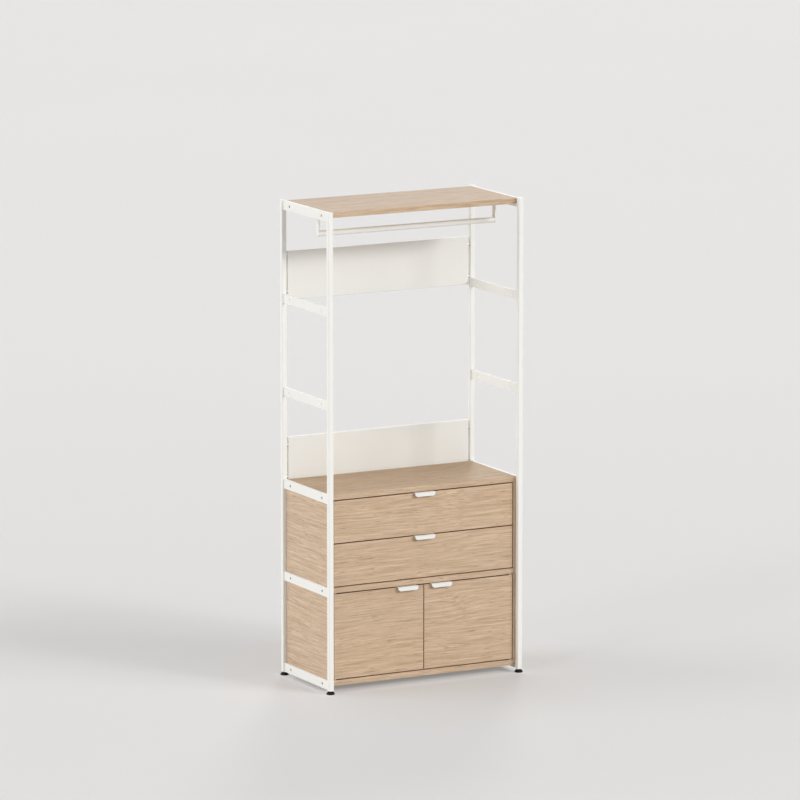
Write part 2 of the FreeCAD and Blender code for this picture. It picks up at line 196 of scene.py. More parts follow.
def stretch(tree, place, along, across, deep=None):
    """A coordinate that is scaled along its first axis and across the other two."""
    scale = (along, across, across if deep is None else deep)
    return add(tree, "VectorMath", {0: place, 1: scale}, operation="MULTIPLY").outputs[0]


def noise(tree, place, seed, detail=2.0, rough=0.5, scale=1.0):
    """A grey noise between 0 and 1. Pieces with another seed get another pattern."""
    inputs = {"Vector": place, "W": seed, "Scale": scale, "Detail": detail, "Roughness": rough}
    return add(tree, "TexNoise", inputs, noise_dimensions="4D").outputs[0]


def remap(tree, value, low, high, bottom=0.0, top=1.0):
    """A value's range from low to high spread over bottom to top, and held there outside it."""
    inputs = {"Value": value, "From Min": low, "From Max": high, "To Min": bottom, "To Max": top}
    return add(tree, "MapRange", inputs).outputs[0]


def blend(tree, factor, first, second, kind="MIX"):
    """One colour mixed into another."""
    made = add(tree, "Mix", {"Factor": factor, 6: first, 7: second}, data_type="RGBA", blend_type=kind)
    return made.outputs[2]


def close(tree, colour, roughness, height=None, depth=0.0, metallic=0.0, ior=1.45):
    """Ends a network with the surface shader, and a bump that is depth metres deep. Returns the surface."""
    inputs = {"Base Color": colour, "Roughness": roughness, "Metallic": metallic, "IOR": ior}
    surface = add(tree, "BsdfPrincipled", inputs).outputs[0]
    if height is not None:
        bump = add(tree, "Bump", {"Height": height, "Distance": depth})
        tree.links.new(bump.outputs[0], surface.node.inputs["Normal"])
    add(tree, "OutputMaterial", {"Surface": surface})
    return surface


print("frame paint in linear values", [round(v, 3) for v in paint(246, 245, 240)])

# %% [markdown]
# ## Floor and backdrop
# The room has no visible corner: floor and wall run into each other. A bent sheet would need its own
# lighting. One wide floor with a plain world behind it does the same, because the world shows the camera,
# a gloss or a clear piece the same pale grey that the lit floor has. The floor shows the same rays a little
# light of its own, slightly more of it far away, where it has to meet the world, and most of it below the
# cabinet. There it stands in for the light that a real pale room throws into a shadow. Gloss on the
# wardrobe reflects it, but it sends no other light there.

# %% Floor and world
room_grey = paint(231, 229, 227)
floor_grey = paint(204, 203, 203)
floor_reach = 80
near, far = 1.5, 7.0
glow_near, glow_far, glow_under = 0.15, 0.19, 0.13
soft_edge = 0.03
ambient_strength = 0.315


def shows_room(tree):
    """1 for rays from the camera, a gloss or a clear piece, and 0 for rays that carry light."""
    rays = add(tree, "LightPath").outputs
    seen = maths(tree, "MAXIMUM", rays["Is Camera Ray"], rays["Is Transmission Ray"])
    return maths(tree, "MAXIMUM", seen, rays["Is Glossy Ray"])


floor_shape = bmesh.new()
bmesh.ops.create_grid(floor_shape, x_segments=1, y_segments=1, size=floor_reach)
floor_mesh = bpy.data.meshes.new("floor")
floor_shape.to_mesh(floor_mesh)
floor_shape.free()
floor = bpy.data.objects.new("floor", floor_mesh)
scene.collection.objects.link(floor)
floor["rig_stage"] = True
floor_finish, tree = start_finish("floor_paint")
spot = add(tree, "TexCoord").outputs["Object"]
patchy = remap(tree, noise(tree, spot, 1.0, scale=0.5), 0.3, 0.7, 0.995, 1.005)
lit = close(tree, blend(tree, 1.0, floor_grey, patchy, "MULTIPLY"), 0.9)
away = add(tree, "VectorMath", {0: spot}, operation="LENGTH").outputs["Value"]
spot_x, spot_y, _ = add(tree, "SeparateXYZ", {0: spot}).outputs
beside = maths(tree, "SUBTRACT", maths(tree, "ABSOLUTE", spot_x), cad_box[1].x)
before = maths(tree, "SUBTRACT", maths(tree, "ABSOLUTE", spot_y), cad_box[1].y)
outside = maths(tree, "MAXIMUM", beside, before)
under = remap(tree, outside, -soft_edge, soft_edge, glow_under, 0.0)
glow = maths(tree, "ADD", remap(tree, away, near, far, glow_near, glow_far), under)
strength = maths(tree, "MULTIPLY", shows_room(tree), glow)
lift = add(tree, "Emission", {"Color": room_grey, "Strength": strength})
both = add(tree, "AddShader", {0: lit, 1: lift.outputs[0]})
tree.links.new(both.outputs[0], tree.nodes["Material Output"].inputs["Surface"])
floor_mesh.materials.append(floor_finish)

world = bpy.data.worlds.new("studio")
scene.world = world
world.use_nodes = True
world.node_tree.nodes.clear()
tree = world.node_tree
ambient = add(tree, "Background", {"Color": (1.0, 0.995, 0.985, 1), "Strength": ambient_strength})
backdrop = add(tree, "Background", {"Color": room_grey, "Strength": 1.0})
mixed = add(tree, "MixShader", {0: shows_room(tree), 1: ambient.outputs[0], 2: backdrop.outputs[0]})
add(tree, "OutputWorld", {"Surface": mixed.outputs[0]})
scene.view_settings.view_transform = "Standard"
print("floor", floor.name, "world", world.name)

# %% [markdown]
# ## Powder-coated steel
# Posts, rails, panels, straps and pulls are sprayed with dry powder that melts into one thick satin skin.
# A flat white would look like paper. The real skin has a faint orange peel, about a millimetre from crest
# to crest, and its sheen varies a little over a long bar, so both are added as fine bump and uneven
# roughness. Panels and pulls have greyer copies of the frame's white, each a shade darker. This is painted
# shade: it keeps the brightly lit pulls from turning pure white, and it darkens the panels.

# %% Powder coat
satin = 0.6


def powder_coat(name, colour, seed):
    """Satin paint with orange peel, and with cloudy differences in shade and sheen."""
    made, tree = start_finish(name)
    place = add(tree, "TexCoord").outputs["Object"]
    cloud = noise(tree, place, seed, detail=3.0, scale=6.0)
    peel = noise(tree, place, seed + 3, detail=1.0, rough=0.4, scale=950.0)
    speck = noise(tree, place, seed + 7, detail=0.0, scale=2600.0)
    shade = remap(tree, cloud, 0.3, 0.7, 0.985, 1.0)
    grain = remap(tree, speck, 0.25, 0.75, 0.99, 1.0)
    tint = blend(tree, 1.0, colour, maths(tree, "MULTIPLY", shade, grain), "MULTIPLY")
    gloss = remap(tree, maths(tree, "ADD", cloud, peel), 0.6, 1.4, satin - 0.04, satin + 0.06)
    close(tree, tint, gloss, peel, 0.06 * mm)
    return made


white_paint = powder_coat("white_powder_coat", paint(246, 245, 240), 11.0)
# Painted shade: the panels and the pulls are darker copies of the frame's white.
shaded_panel_paint = powder_coat("white_powder_coat_shaded_panels", paint(237, 236, 231), 14.0)
shaded_pull_paint = powder_coat("white_powder_coat_shaded_pulls", paint(233, 232, 228), 17.0)
print("paints", white_paint.name, shaded_panel_paint.name, shaded_pull_paint.name)

# %% [markdown]
# ## Oak veneer
# Boards, fronts, doors and sides are board with a thin sheet of sliced oak on every face. Straight-cut oak
# has soft bands a centimetre or so wide, fine fibres along them and short dark pores that lie in the open
# early wood. A photograph of wood would repeat and smear. Here every layer is a noise that is pulled out
# along the grain, so it stays sharp at any distance, and each piece has its own seed. A strip of edge band
# runs along every edge, so on end faces the grain turns and follows the strip. Faces that look up are
# painted darker: a greyer painted shade on the tops of the boards, and a brown painted shadow on the top
# edges of fronts and doors, which makes the gaps above them read as lines.

# %% Oak veneer
def grain_place(tree, lengthwise):
    """Coordinates whose first axis follows the grain, X or Y, and stands upright on end faces."""
    source = add(tree, "TexCoord")
    x, y, z = add(tree, "SeparateXYZ", {0: source.outputs["Object"]}).outputs
    nx, ny, _ = add(tree, "SeparateXYZ", {0: source.outputs["Normal"]}).outputs
    first, second, end = (x, y, nx) if lengthwise == "X" else (y, x, ny)
    flat = add(tree, "CombineXYZ", {0: first, 1: second, 2: z}).outputs[0]
    turned = add(tree, "CombineXYZ", {0: z, 1: second, 2: first}).outputs[0]
    on_end = maths(tree, "GREATER_THAN", maths(tree, "ABSOLUTE", end), 0.7)
    mixed = add(tree, "Mix", {"Factor": on_end, 4: flat, 5: turned}, data_type="VECTOR")
    return mixed.outputs[1]


def oak(name, lengthwise, seed, light, dark, painted_top_shade=None):
    """Veneer between two colours, with its grain along X or Y. A painted shade darkens the faces that look up.
    """
    made, tree = start_finish(name)
    straight = grain_place(tree, lengthwise)
    sway = noise(tree, stretch(tree, straight, 1.6, 7.0), seed)
    shift = maths(tree, "MULTIPLY", maths(tree, "SUBTRACT", sway, 0.5), 0.055)
    drift = add(tree, "CombineXYZ", {0: 0.0, 1: shift, 2: shift}).outputs[0]
    place = add(tree, "VectorMath", {0: straight, 1: drift}, operation="ADD").outputs[0]

    def layer(step, along, across, detail, rough=0.5):
        """A noise that is scaled differently along and across the grain."""
        return noise(tree, stretch(tree, place, along, across), seed + step, detail, rough)

    bands = layer(1, 1.1, 95.0, 3.0, 0.6)
    streaks = layer(2, 6.0, 260.0, 3.0, 0.65)
    fibres = layer(3, 14.0, 900.0, 3.0, 0.6)
    pores = layer(4, 95.0, 2400.0, 1.0)
    broad = layer(5, 0.5, 5.0, 1.0)
    dashes = remap(tree, layer(6, 16.0, 240.0, 2.0, 0.6), 0.60, 0.70)
    body = maths(tree, "ADD", maths(tree, "MULTIPLY", bands, 0.28), maths(tree, "MULTIPLY", streaks, 0.58))
    body = maths(tree, "ADD", body, maths(tree, "MULTIPLY", fibres, 0.14))
    colour = blend(tree, remap(tree, body, 0.39, 0.61), light, dark)
    colour = blend(tree, maths(tree, "MULTIPLY", dashes, 0.62), colour, dash_brown)
    early = remap(tree, bands, 0.42, 0.62, 0.25, 1.0)
    holes = maths(tree, "MULTIPLY", remap(tree, pores, 0.60, 0.68), early)
    colour = blend(tree, maths(tree, "MULTIPLY", holes, 0.45), colour, pore_brown)
    colour = blend(tree, 1.0, colour, remap(tree, broad, 0.3, 0.7, 0.965, 1.03), "MULTIPLY")
    # Painted shade: faces that look up are multiplied by a darker colour.
    if painted_top_shade:
        upright = add(tree, "SeparateXYZ", {0: add(tree, "TexCoord").outputs["Normal"]}).outputs[2]
        shade = blend(tree, remap(tree, upright, 0.5, 0.9), (1, 1, 1, 1), (*painted_top_shade, 1))
        colour = blend(tree, 1.0, colour, shade, "MULTIPLY")
    gloss = remap(tree, fibres, 0.3, 0.7, 0.64, 0.78)
    relief = maths(tree, "SUBTRACT", maths(tree, "MULTIPLY", fibres, 0.4), holes)
    close(tree, colour, gloss, relief, 0.05 * mm)
    return made


oak_light, oak_dark = paint(221, 195, 167), paint(184, 155, 124)
side_light, side_dark = paint(225, 201, 176), paint(189, 161, 132)
dash_brown, pore_brown = paint(150, 118, 90), paint(128, 96, 70)
# Painted shade on the upper faces of the boards, and a brown painted shadow on the top edges of fronts and
# doors.
painted_top_shades = {
    "top_shelf": (0.85, 0.88, 0.96), "worktop": (0.80, 0.79, 0.765),
    "mid_board": (0.84, 0.77, 0.68), "bottom_board": (0.84, 0.77, 0.68),
}
painted_gap_shadow = (0.54, 0.41, 0.30)
oak_boards = {
    name: oak("oak_" + name, "X", 20.0 + 7 * i, oak_light, oak_dark, painted_top_shades.get(name))
    for i, name in enumerate(("top_shelf", "worktop", "mid_board", "bottom_board"))
}
oak_fronts = {
    name: oak("oak_" + name, "X", 60.0 + 7 * i, oak_light, oak_dark, painted_gap_shadow)
    for i, name in enumerate(("drawer_upper_front", "drawer_lower_front", "door_left", "door_right"))
}
side_names = ["side_panel_{}_{}".format(bay, side) for bay in ("upper", "lower") for side in ("left", "right")]
oak_sides = {
    name: oak("oak_" + name, "Y", 100.0 + 7 * i, side_light, side_dark)
    for i, name in enumerate(side_names)
}
oak_back = oak("oak_cabinet_backs", "X", 140.0, oak_light, oak_dark)
print("oak finishes", len(oak_boards) + len(oak_fronts) + len(oak_sides) + 1)

# %% [markdown]
# ## Birch plywood
# The drawer boxes are thin birch plywood. Its faces are pale with faint cloudy figure, and every cut edge
# shows the plies as brown and cream lines. The lines could be modelled as layers, but they are only about a
# millimetre thick, so a wave across the sheet's thickness draws them, on the faces that are cut edges only.

# %% Birch plywood
ply_thickness = 1.35 * mm


def birch(name, through, seed):
    """Plywood whose thickness runs along one axis: 0 for X, 1 for Y and 2 for Z."""
    made, tree = start_finish(name)
    source = add(tree, "TexCoord")
    place = source.outputs["Object"]
    axis = add(tree, "SeparateXYZ", {0: place}).outputs[through]
    normal = add(tree, "SeparateXYZ", {0: source.outputs["Normal"]}).outputs[through]
    facing = maths(tree, "ABSOLUTE", normal)
    cut_edge = maths(tree, "LESS_THAN", facing, 0.6)
    figure = noise(tree, stretch(tree, place, 18.0, 4.0), seed, 4.0, 0.6)
    hairs = noise(tree, stretch(tree, place, 500.0, 22.0), seed + 1, 2.0)
    face = blend(tree, remap(tree, figure, 0.3, 0.7), paint(226, 205, 172), paint(209, 184, 147))
    face = blend(tree, remap(tree, hairs, 0.55, 0.75, 0.0, 0.25), face, paint(176, 143, 106))
    ply = maths(tree, "PINGPONG", axis, ply_thickness)
    line = remap(tree, ply, 0.55 * mm, 0.75 * mm)
    edge = blend(tree, line, paint(214, 188, 150), paint(158, 121, 84))
    colour = blend(tree, cut_edge, face, edge)
    close(tree, colour, remap(tree, hairs, 0.3, 0.7, 0.5, 0.62), hairs, 0.04 * mm)
    return made


birch_sheets = [birch("birch_ply_" + "xyz"[axis], axis, 160.0 + axis) for axis in range(3)]
print("birch finishes", [sheet.name for sheet in birch_sheets])

# %% [markdown]
# ## Zinc-plated steel
# Runners, screws, bolts and pivot plates are bare plated steel: a cool grey metal with fine rolling marks
# and cloudy patches in its sheen. Metal colour comes almost all from reflection, so most of the work is in
# the roughness, which the patches and marks change. The bolts in the rails have a darker, duller plating.

# %% Plated steel
def plated_steel(name, seed, colour, rough):
    """Bare plated metal with rolling marks along Y and cloudy patches."""
    made, tree = start_finish(name)
    place = add(tree, "TexCoord").outputs["Object"]
    marks = noise(tree, stretch(tree, place, 1600.0, 30.0, 1600.0), seed, 2.0)
    cloud = noise(tree, place, seed + 2, 3.0, 0.6, 90.0)
    tint = blend(tree, remap(tree, cloud, 0.3, 0.7), colour, paint(176, 178, 182))
    gloss = remap(tree, maths(tree, "ADD", marks, cloud), 0.7, 1.3, rough - 0.08, rough + 0.1)
    close(tree, tint, gloss, marks, 0.01 * mm, metallic=1.0)
    return made


steel = plated_steel("zinc_plate", 180.0, paint(196, 197, 199), 0.34)
dull_steel = plated_steel("zinc_plate_dull", 185.0, paint(138, 138, 137), 0.5)
print("metals", steel.name, dull_steel.name)

# %% [markdown]
# ## Moulded plastic
# The feet and their threaded plugs are black nylon, and the catches are white plastic. A mould is
# spark-etched, which leaves a fine even texture, and the plastic shines a little where it is worn smooth.

# %% Moulded plastic
def moulded(name, colour, seed, rough):
    """Plastic from a spark-etched mould, a little shinier in worn patches."""
    made, tree = start_finish(name)
    place = add(tree, "TexCoord").outputs["Object"]
    etched = noise(tree, place, seed, 2.0, 0.6, 2200.0)
    worn = noise(tree, place, seed + 2, 3.0, 0.5, 60.0)
    tint = blend(tree, 1.0, colour, remap(tree, etched, 0.3, 0.7, 0.9, 1.0), "MULTIPLY")
    gloss = remap(tree, worn, 0.35, 0.65, rough - 0.08, rough + 0.08)
    close(tree, tint, gloss, etched, 0.03 * mm, ior=1.3)
    return made


black_plastic = moulded("black_nylon", paint(15, 14, 14), 190.0, 0.6)
white_plastic = moulded("white_plastic", paint(232, 232, 228), 195.0, 0.45)
print("plastics", black_plastic.name, white_plastic.name)

# %% [markdown]
# ## Turning a shape into a piece
# Every shape below ends in the same way. Its mesh becomes an object at the origin, with its place in its
# points, smooth where it is curved and crisp at its corners. It then rides on the part that carries it, and
# hides the solids that it stands for.

# %% Helper that ends a piece
def finish_piece(name, shape, body, finish, stands_for=(), crisp=32):
    """Makes an object of a bmesh, lets it ride on a body and hides the solids that it stands for."""
    mesh = bpy.data.meshes.new(name)
    shape.to_mesh(mesh)
    shape.free()
    mesh.materials.append(finish)
    for face in mesh.polygons:
        face.use_smooth = True
        face.material_index = 0
    mesh.set_sharp_from_angle(angle=radians(crisp))
    piece = bpy.data.objects.new(name, mesh)
    scene.collection.objects.link(piece)
    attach(piece, body)
    if stands_for:
        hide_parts(*stands_for)
    even = piece.modifiers.new("even_normals", "WEIGHTED_NORMAL")
    even.keep_sharp = True
    return piece


def merged_copy(node):
    """A node's loose triangles as one bmesh, with flat regions joined into whole faces."""
    shape = bmesh.new()
    shape.from_mesh(frame["nodes"][node].data)
    bmesh.ops.remove_doubles(shape, verts=shape.verts, dist=0.01 * mm)
    bmesh.ops.dissolve_limit(shape, angle_limit=radians(0.5), verts=shape.verts, edges=shape.edges)
    return shape


def body_of(node):
    """The name of the moving or fixed part that carries a node."""
    return frame["nodes"][node]["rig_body"]


# %% [markdown]
# ## Eased edges
# No real edge is a perfect corner. A veneered board is sanded to a soft edge of about a millimetre, and
# rolled steel has a smaller one. That narrow strip catches the light, and tells the eye how large the
# piece is. A Bevel modifier would round every corner, holes and pockets too, so only the edges that lie on
# the box round each separate solid are chosen and bevelled.

# %% Helper that eases a solid's outer edges
flush = 0.02 * mm


def separate_solids(shape):
    """The points of each solid that is not joined to the others."""
    left = set(shape.verts)
    groups = []
    while left:
        front = [left.pop()]
        group = list(front)
        while front:
            near = {edge.other_vert(v) for v in front for edge in v.link_edges} & left
            left -= near
            front = list(near)
            group += front
        groups.append(group)
    return groups


def box_round(points):
    """The lowest and the highest corner of the box round some points."""
    low = Vector([min(v.co[axis] for v in points) for axis in range(3)])
    high = Vector([max(v.co[axis] for v in points) for axis in range(3)])
    return low, high


def outer_edges(shape, directions):
    """The edges along X, Y or Z that lie on an edge of the box round their own solid."""
    chosen = []
    for group in separate_solids(shape):
        low, high = box_round(group)
        for edge in {edge for v in group for edge in v.link_edges}:
            a, b = (v.co for v in edge.verts)
            moves = [axis for axis in range(3) if abs(a[axis] - b[axis]) > flush]
            if len(moves) != 1 or "XYZ"[moves[0]] not in directions:
                continue
            others = [axis for axis in range(3) if axis != moves[0]]
            if all(min(abs(a[o] - low[o]), abs(a[o] - high[o])) < flush for o in others):
                chosen.append(edge)
    return chosen


def ease(shape, edges, width, segments=2):
    """Rounds some edges of a shape."""
    bmesh.ops.bevel(shape, geom=edges, offset=width, offset_type="OFFSET", segments=segments, profile=0.5,
                    affect="EDGES", material=-1, clamp_overlap=True)


def eased(node, finish, width, directions="XYZ"):
    """A dressed copy of a node with soft outer edges."""
    shape = merged_copy(node)
    ease(shape, outer_edges(shape, directions), width)
    return finish_piece("eased_" + node, shape, body_of(node), finish, (node,))


print("helpers ready")

# %% [markdown]
# ## Boards, fronts, doors and sides
# These carry the look of the whole wardrobe. Each keeps the pockets and rebates of its solid, has its edges
# sanded by 0.8 mm, and wears its own sheet of oak. The drawer boxes are eased less, as plywood is.

# %% Oak pieces
oak_pieces = []
for group in (oak_boards, oak_fronts, oak_sides):
    for node, finish in group.items():
        oak_pieces.append(eased(node, finish, 0.8 * mm))
oak_pieces.append(eased("cabinet_backs", oak_back, 0.3 * mm))
print("oak pieces", len(oak_pieces), "faces", sum(len(p.data.polygons) for p in oak_pieces))

# %% Drawer boxes
box_pieces = []
for bay in ("upper", "lower"):
    for part, axis in (("side_left", 0), ("side_right", 0), ("back", 1), ("bottom", 2)):
        node = "drawer_{}_{}".format(bay, part)
        box_pieces.append(eased(node, birch_sheets[axis], 0.4 * mm))
print("drawer box pieces", len(box_pieces))

# %% [markdown]
# ## Posts, rails and welds
# A ladder frame is welded from square tube and flat bar. The tube already has rolled corners, so it only
# needs smooth shading. The flat rails get a soft edge along their length. Where a rail meets a post, a thin
# weld bead runs round it. A bead is a loop on the rail and a slightly wider loop on the post, bridged.

# %% Posts and caps
post_pieces = []
for node in ("post_front_left", "post_back_left", "post_front_right", "post_back_right"):
    shape = merged_copy(node)
    post_pieces.append(finish_piece("smooth_" + node, shape, "frame", white_paint, (node,)))
caps = merged_copy("post_caps")
cap_top = max(v.co.z for v in caps.verts)
rim = [e for e in caps.edges if all(cap_top - v.co.z < tiny for v in e.verts) and e.calc_face_angle(0) > 1]
ease(caps, rim, 0.5 * mm)
finish_piece("eased_post_caps", caps, "frame", white_paint, ("post_caps",))
print("posts", len(post_pieces), "cap rims", len(rim))

# %% Rails with weld beads
def add_bead(shape, post_face, rail_x, rail_z, size, highest):
    """A weld bead round a rail's end, on the face of a post at post_face along Y."""
    away = -1 if post_face > 0 else 1
    loops = []
    for grow, rise in ((0, size), (size * 0.55, size * 0.45), (size, 0)):
        y = post_face + away * rise
        x = (rail_x[0] - grow, rail_x[1] + grow)
        z = (rail_z[0] - grow, min(rail_z[1] + grow, highest))
        ring = [shape.verts.new((x[i], y, z[j])) for i, j in ((0, 0), (1, 0), (1, 1), (0, 1))]
        loops.append([shape.edges.new((ring[k], ring[k - 1])) for k in range(4)])
    for first, second in zip(loops, loops[1:]):
        bmesh.ops.bridge_loops(shape, edges=first + second)


bead_size = 1.5 * mm
rail_pieces = []
for side in ("left", "right"):
    node = "rails_" + side
    rail_pieces.append(eased(node, white_paint, 0.8 * mm, "Y"))
    beads = bmesh.new()
    source = merged_copy(node)
    for group in separate_solids(source):
        low, high = box_round(group)
        for y in (low.y, high.y):
            add_bead(beads, y, (low.x, high.x), (low.z, high.z), bead_size, cap_top - bead_size)
    source.free()
    bmesh.ops.recalc_face_normals(beads, faces=beads.faces)
    welds = finish_piece("weld_beads_" + side, beads, "frame", white_paint, crisp=80)
    rail_pieces.append(welds)
print("rails and beads", [piece.name for piece in rail_pieces])

# %% [markdown]
# ## Turned pieces
# Feet, screw heads and the hanging rail are round. Each is drawn as half an outline and spun about its
# axis, as on a lathe. Points that meet on the axis are merged before the faces are turned outwards. A foot's
# outline starts and ends on the axis and a tube's returns to its own start, so both close. A screw's stops
# at the rim of its head, where the socket is added.

# %% Helper for turned pieces
def turned(outline, segments):
    """A shape spun about Z from (radius, height) points in millimetres."""
    shape = bmesh.new()
    points = [shape.verts.new((radius * mm, 0, height * mm)) for radius, height in outline]
    line = [shape.edges.new(pair) for pair in zip(points, points[1:])]
    bmesh.ops.spin(shape, geom=points + line, cent=(0, 0, 0), axis=(0, 0, 1), dvec=(0, 0, 0),
                   angle=2 * pi, steps=segments, use_merge=True)
    bmesh.ops.remove_doubles(shape, verts=shape.verts, dist=0.001 * mm)
    bmesh.ops.recalc_face_normals(shape, faces=shape.faces)
    return shape


def pour(shape, target, place):
    """Adds a copy of a shape to another one, at a place given as a matrix."""
    mesh = bpy.data.meshes.new("copy")
    shape.to_mesh(mesh)
    before = len(target.verts)
    target.from_mesh(mesh)
    target.verts.ensure_lookup_table()
    bmesh.ops.transform(target, matrix=place, verts=target.verts[before:])
    bpy.data.meshes.remove(mesh)


def along(axis, origin):
    """A matrix that stands a turned piece on a point, with its own Z along an axis."""
    turn = Vector((0, 0, 1)).rotation_difference(Vector(axis)).to_matrix().to_4x4()
    return Matrix.Translation(Vector(origin)) @ turn


print("turned pieces ready")

# %% [markdown]
# ## Feet
# Each post stands on a levelling foot: a black nylon pad moulded round the head of a plated screw. The pad
# has a rounded rim and a low cone, then a round collar. A plain cylinder for the stem would do at rest. It
# has ridges like a thread instead, because they show when the foot is wound out.

# %% Feet
pad_outline = [(0, 0), (15.1, 0), (15.7, 0.25), (16, 0.8), (16, 3.9), (15.75, 4.5), (15.2, 5.1), (12.2, 9.2),
               (11.6, 9.75), (10.8, 10), (8.3, 10), (8, 10.3), (8, 12.7), (7.5, 13.2), (0, 13.2)]


def screw_outline(start, end, radius, pitch):
    """Half the outline of a stem with one crest in each pitch, in millimetres."""
    points = [(0, start), (radius - 0.4, start)]
    height = start + pitch / 2
    while height < end - pitch:
        points += [(radius, height), (radius - 0.5, height + pitch / 2)]
        height += pitch
    return points + [(radius - 0.9, end), (0, end)]


pad = turned(pad_outline, 48)
stem = turned(screw_outline(start=13.2, end=37.5, radius=4.0, pitch=1.25), 24)
for end in ("front", "back"):
    for side in ("left", "right"):
        node = "foot_{}_{}".format(end, side)
        corner = "{}_{}".format(end, side)
        low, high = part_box(node)
        middle = Matrix.Translation(((low.x + high.x) / 2, (low.y + high.y) / 2, 0))
        whole = bmesh.new()
        pour(pad, whole, middle)
        piece = finish_piece("foot_pad_" + corner, whole, node, black_plastic, (node,))
        thread = bmesh.new()
        pour(stem, thread, middle)
        rod = finish_piece("foot_screw_" + corner, thread, node, steel, crisp=60)
print("foot pad faces", len(piece.data.polygons), "screw faces", len(rod.data.polygons))

# %% [markdown]
# ## Bolts and screws
# The bolts that hold the boards are set into steps in the rails, so only a head with a hexagonal socket
# shows. A plain cylinder would look like a rivet. The head is turned with a small chamfer, then a six-sided
# ring on its face is pushed in to make the socket.

# %% Helper for socket heads
def socket_screw(head, shank, socket, dome=0.4):
    """A screw along Z with its seat at 0. Head, shank and socket are radius and extent, in millimetres."""
    (head_radius, top), (shank_radius, shank_length), (socket_radius, socket_depth) = head, shank, socket
    outline = [(0, -shank_length), (shank_radius - 0.5, -shank_length), (shank_radius, 0.5 - shank_length),
               (shank_radius, 0), (head_radius, 0), (head_radius, top - dome), (head_radius - dome, top)]
    shape = turned(outline, 24)
    rim = [e for e in shape.edges if e.is_boundary]
    ring = bmesh.ops.create_circle(shape, cap_ends=False, segments=6, radius=socket_radius * mm,
                                   matrix=Matrix.Translation((0, 0, top * mm)))["verts"]
    hexagon = list({e for v in ring for e in v.link_edges})
    bmesh.ops.bridge_loops(shape, edges=rim + hexagon)
    pushed = bmesh.ops.extrude_edge_only(shape, edges=hexagon)["geom"]
    low_ring = [v for v in pushed if isinstance(v, bmesh.types.BMVert)]
    bmesh.ops.translate(shape, vec=(0, 0, -socket_depth * mm), verts=low_ring)
    bmesh.ops.contextual_create(shape, geom=[e for e in pushed if isinstance(e, bmesh.types.BMEdge)])
    bmesh.ops.recalc_face_normals(shape, faces=shape.faces)
    return shape


bolt_head, panel_head, strap_head = 4.5, 2.8, 2.0
board_bolt = socket_screw(head=(5.0, bolt_head), shank=(3.0, 8.0), socket=(2.5, 1.6))
panel_bolt = socket_screw(head=(4.5, panel_head), shank=(2.5, 13.5), socket=(1.7, 1.6), dome=0.7)
strap_screw = socket_screw(head=(3.8, strap_head), shank=(2.0, 20.0), socket=(1.6, 1.2), dome=0.8)
print("bolt faces", len(board_bolt.faces))

# %% Bolts in the rails and panels
def set_bolts(node, screw, head, outwards, finish):
    """Puts a screw in the place of each of a node's solids. Its head looks away from the middle, or to it."""
    bolts = bmesh.new()
    source = merged_copy(node)
    for group in separate_solids(source):
        low, high = box_round(group)
        looks = (-1 if low.x < 0 else 1) * outwards
        face = high.x if looks > 0 else low.x
        seat = (face - looks * head * mm, (low.y + high.y) / 2, (low.z + high.z) / 2)
        pour(screw, bolts, along((looks, 0, 0), seat))
    source.free()
    return finish_piece("socket_" + node, bolts, "frame", finish, (node,), crisp=35)


bolt_pieces = [
    set_bolts("board_bolts", board_bolt, bolt_head, 1, dull_steel),
    set_bolts("panel_bolts", panel_bolt, panel_head, -1, steel),
]
print("bolts", [(piece.name, len(piece.data.polygons)) for piece in bolt_pieces])

# %% [markdown]
# ## Folded sheet
# Pulls, straps and panels are cut from flat sheet and then bent. They could be drawn in their final shape,
# but it is simpler to work as a press brake does: cut the flat blank, round its corners, mark the fold
# lines, and turn everything beyond each line a little. Starting with the farthest line keeps the rest flat.
# A Solidify modifier then gives the sheet its thickness towards the inside.

# %% Helper that folds a blank
def flat_blank(width, length, radius, segments=10):
    """A sheet from 0 to length along Y and centred on X, with its two far corners rounded."""
    shape = bmesh.new()
    place = Matrix.Translation((0, length / 2, 0)) @ Matrix.Diagonal((width, length, 1, 1))
    bmesh.ops.create_grid(shape, x_segments=1, y_segments=1, size=0.5, matrix=place)
    far = [v for v in shape.verts if v.co.y > length / 2]
    bmesh.ops.bevel(shape, geom=far, offset=radius, offset_type="OFFSET", segments=segments, profile=0.5,
                    affect="VERTICES", material=-1)
    return shape


fold_steps = 6


def fold(shape, start, angle, radius):
    """Folds a blank across Y, from start on, through an angle at the radius of the outer skin."""
    turn = angle / fold_steps
    chord = 2 * radius * sin(abs(turn) / 2)
    ends = (0, fold_steps)
    lines = [(start + k * chord, turn / 2 if k in ends else turn) for k in range(fold_steps + 1)]
    for reach, _ in lines:
        everything = shape.verts[:] + shape.edges[:] + shape.faces[:]
        bmesh.ops.bisect_plane(shape, geom=everything, plane_co=(0, reach, 0), plane_no=(0, 1, 0))
    beyond = [[v for v in shape.verts if v.co.y > reach + tiny] for reach, _ in lines]
    for (reach, part), moved in reversed(list(zip(lines, beyond))):
        bmesh.ops.rotate(shape, verts=moved, cent=(0, reach, 0), matrix=Matrix.Rotation(part, 3, "X"))


def set_skin(shape, place, top):
    """Moves a folded skin to its place, and turns its faces so that those at the top look up."""
    bmesh.ops.transform(shape, matrix=place, verts=shape.verts)
    bmesh.ops.recalc_face_normals(shape, faces=shape.faces)
    if sum(f.normal.z for f in shape.faces if f.calc_center_median().z > top - tiny) < 0:
        bmesh.ops.reverse_faces(shape, faces=shape.faces)


